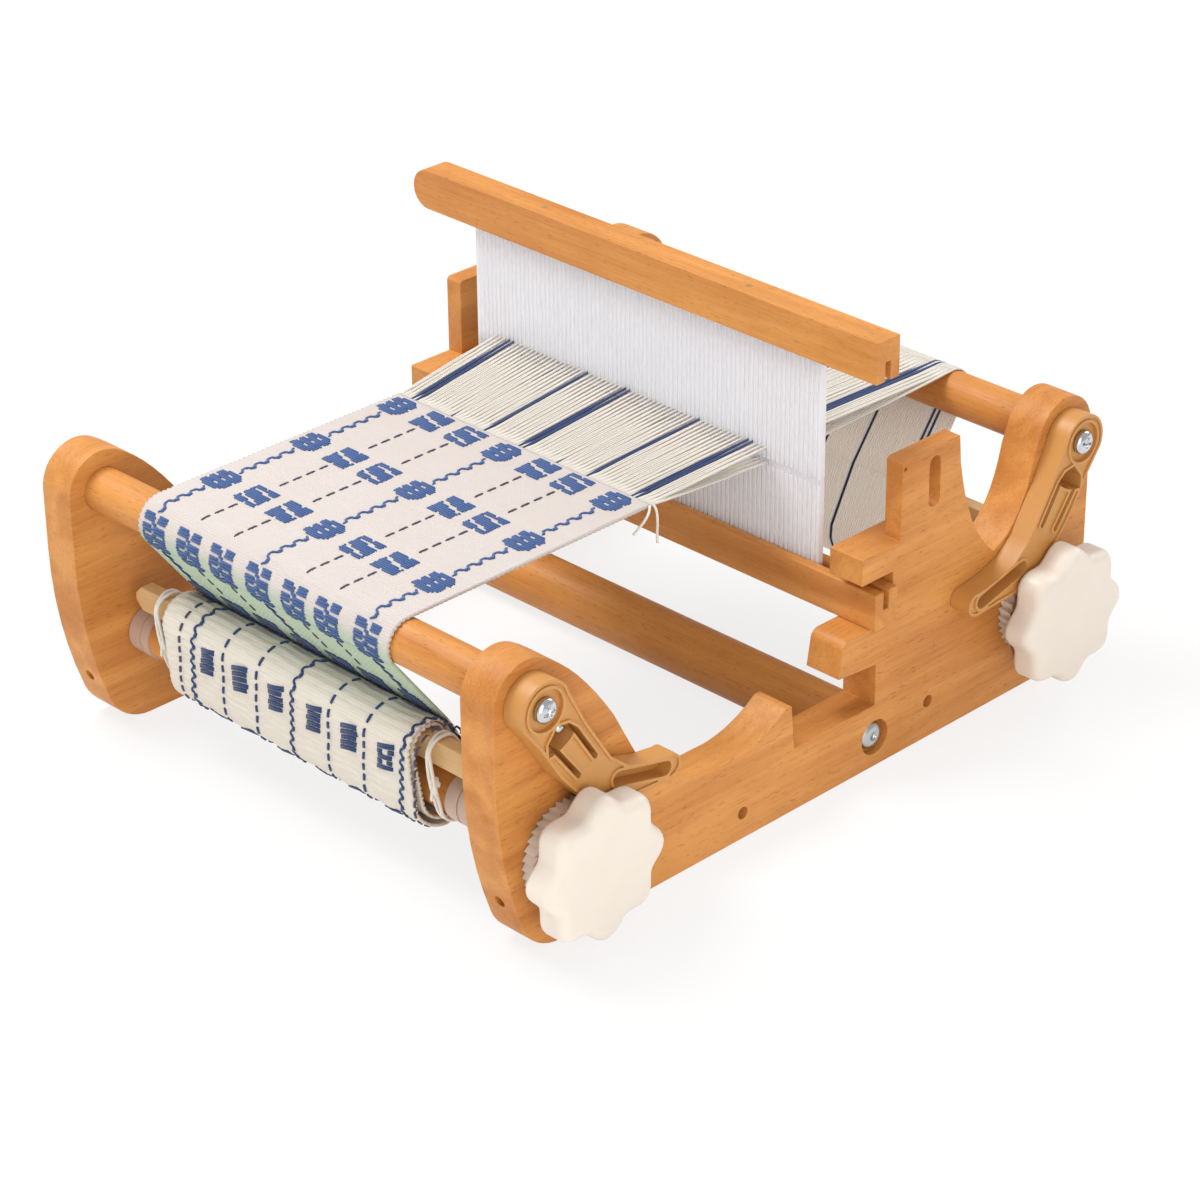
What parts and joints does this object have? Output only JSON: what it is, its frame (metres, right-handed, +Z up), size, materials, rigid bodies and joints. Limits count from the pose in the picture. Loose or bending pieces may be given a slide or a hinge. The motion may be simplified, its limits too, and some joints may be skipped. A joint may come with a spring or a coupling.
{
  "type": "rigid heddle loom",
  "caption": "Tabletop rigid-heddle weaving loom with wooden sides, rollers with ratchets, pawls and lobed knobs, a reed between rails, and a patterned cloth on the warp.",
  "frame": {"origin": "centre of the bounding box in X and Y, at the table surface under the side panels", "axes": "+X along the beams toward the knobs, +Y from the cloth beam at the weaver's side to the warp beam at the back, +Z up"},
  "size_m": [0.2984, 0.35, 0.1945],
  "materials": {
    "beech": "clear-lacquered beech with a fine straight grain",
    "stick_wood": "bare pale wood",
    "pawl_plastic": "satin wood-coloured moulding",
    "white_plastic": "soft-gloss white moulding",
    "sleeve_plastic": "satin warm-grey moulding",
    "reed_nylon": "translucent white moulding",
    "chrome": "bright plated",
    "bolt_steel": "satin zinc-plated",
    "brass": "plain brass",
    "cloth": "cream cotton cloth with a navy-blue overshot pattern",
    "warp_yarn": "cream cotton yarn with navy-blue stripes",
    "cord": "soft white cotton cord"
  },
  "bodies": {
    "loom_frame": {"left_side": "beech", "right_side": "beech", "front_beam": "beech", "back_beam": "beech", "brace": "beech", "brace_bolts": "bolt_steel", "beam_screws": "chrome", "front_pawl_screw": "chrome", "rear_pawl_screw": "chrome", "front_pawl_pin": "chrome", "rear_pawl_pin": "chrome", "cloth_web": "cloth", "cloth_fall": "cloth", "warp_front": "warp_yarn", "warp_back": "warp_yarn", "warp_fall": "warp_yarn", "weft_tail": "cord"},
    "cloth_winder": {"cloth_roller": "beech", "cloth_roller_sleeves": "sleeve_plastic", "cloth_ratchet": "white_plastic", "cloth_knob": "white_plastic", "cloth_stick": "stick_wood", "cloth_stick_ties": "cord", "cloth_roll": "cloth"},
    "warp_winder": {"warp_roller": "beech", "warp_roller_sleeves": "sleeve_plastic", "warp_ratchet": "white_plastic", "warp_knob": "white_plastic", "warp_stick": "stick_wood", "warp_stick_ties": "cord", "warp_roll": "warp_yarn"},
    "front_pawl_arm": {"front_pawl": "pawl_plastic"},
    "rear_pawl_arm": {"rear_pawl": "pawl_plastic"},
    "heddle": {"heddle_top_rail": "beech", "heddle_bottom_rail": "beech", "reed": "reed_nylon", "heddle_pins": "brass"}
  },
  "joints": [
    {"name": "cloth_roller_turn", "type": "hinge", "parent": "loom_frame", "child": "cloth_winder", "pos_m": [0, -0.14, 0.041], "axis": [1, 0, 0], "continuous": true, "deforming": ["cloth_fall"]},
    {"name": "warp_roller_turn", "type": "hinge", "parent": "loom_frame", "child": "warp_winder", "pos_m": [0, 0.14, 0.041], "axis": [-1, 0, 0], "continuous": true, "deforming": ["warp_fall"]},
    {"name": "front_pawl_pivot", "type": "hinge", "parent": "loom_frame", "child": "front_pawl_arm", "pos_m": [0.1288, -0.1575, 0.1125], "axis": [1, 0, 0], "range_deg": [0, 25]},
    {"name": "rear_pawl_pivot", "type": "hinge", "parent": "loom_frame", "child": "rear_pawl_arm", "pos_m": [0.1288, 0.1575, 0.1125], "axis": [-1, 0, 0], "range_deg": [0, 25]},
    {"name": "heddle_beat", "type": "slide", "parent": "loom_frame", "child": "heddle", "axis": [0, -1, 0], "range_m": [0, 0.062], "deforming": ["warp_front", "warp_back"]}
  ]
}
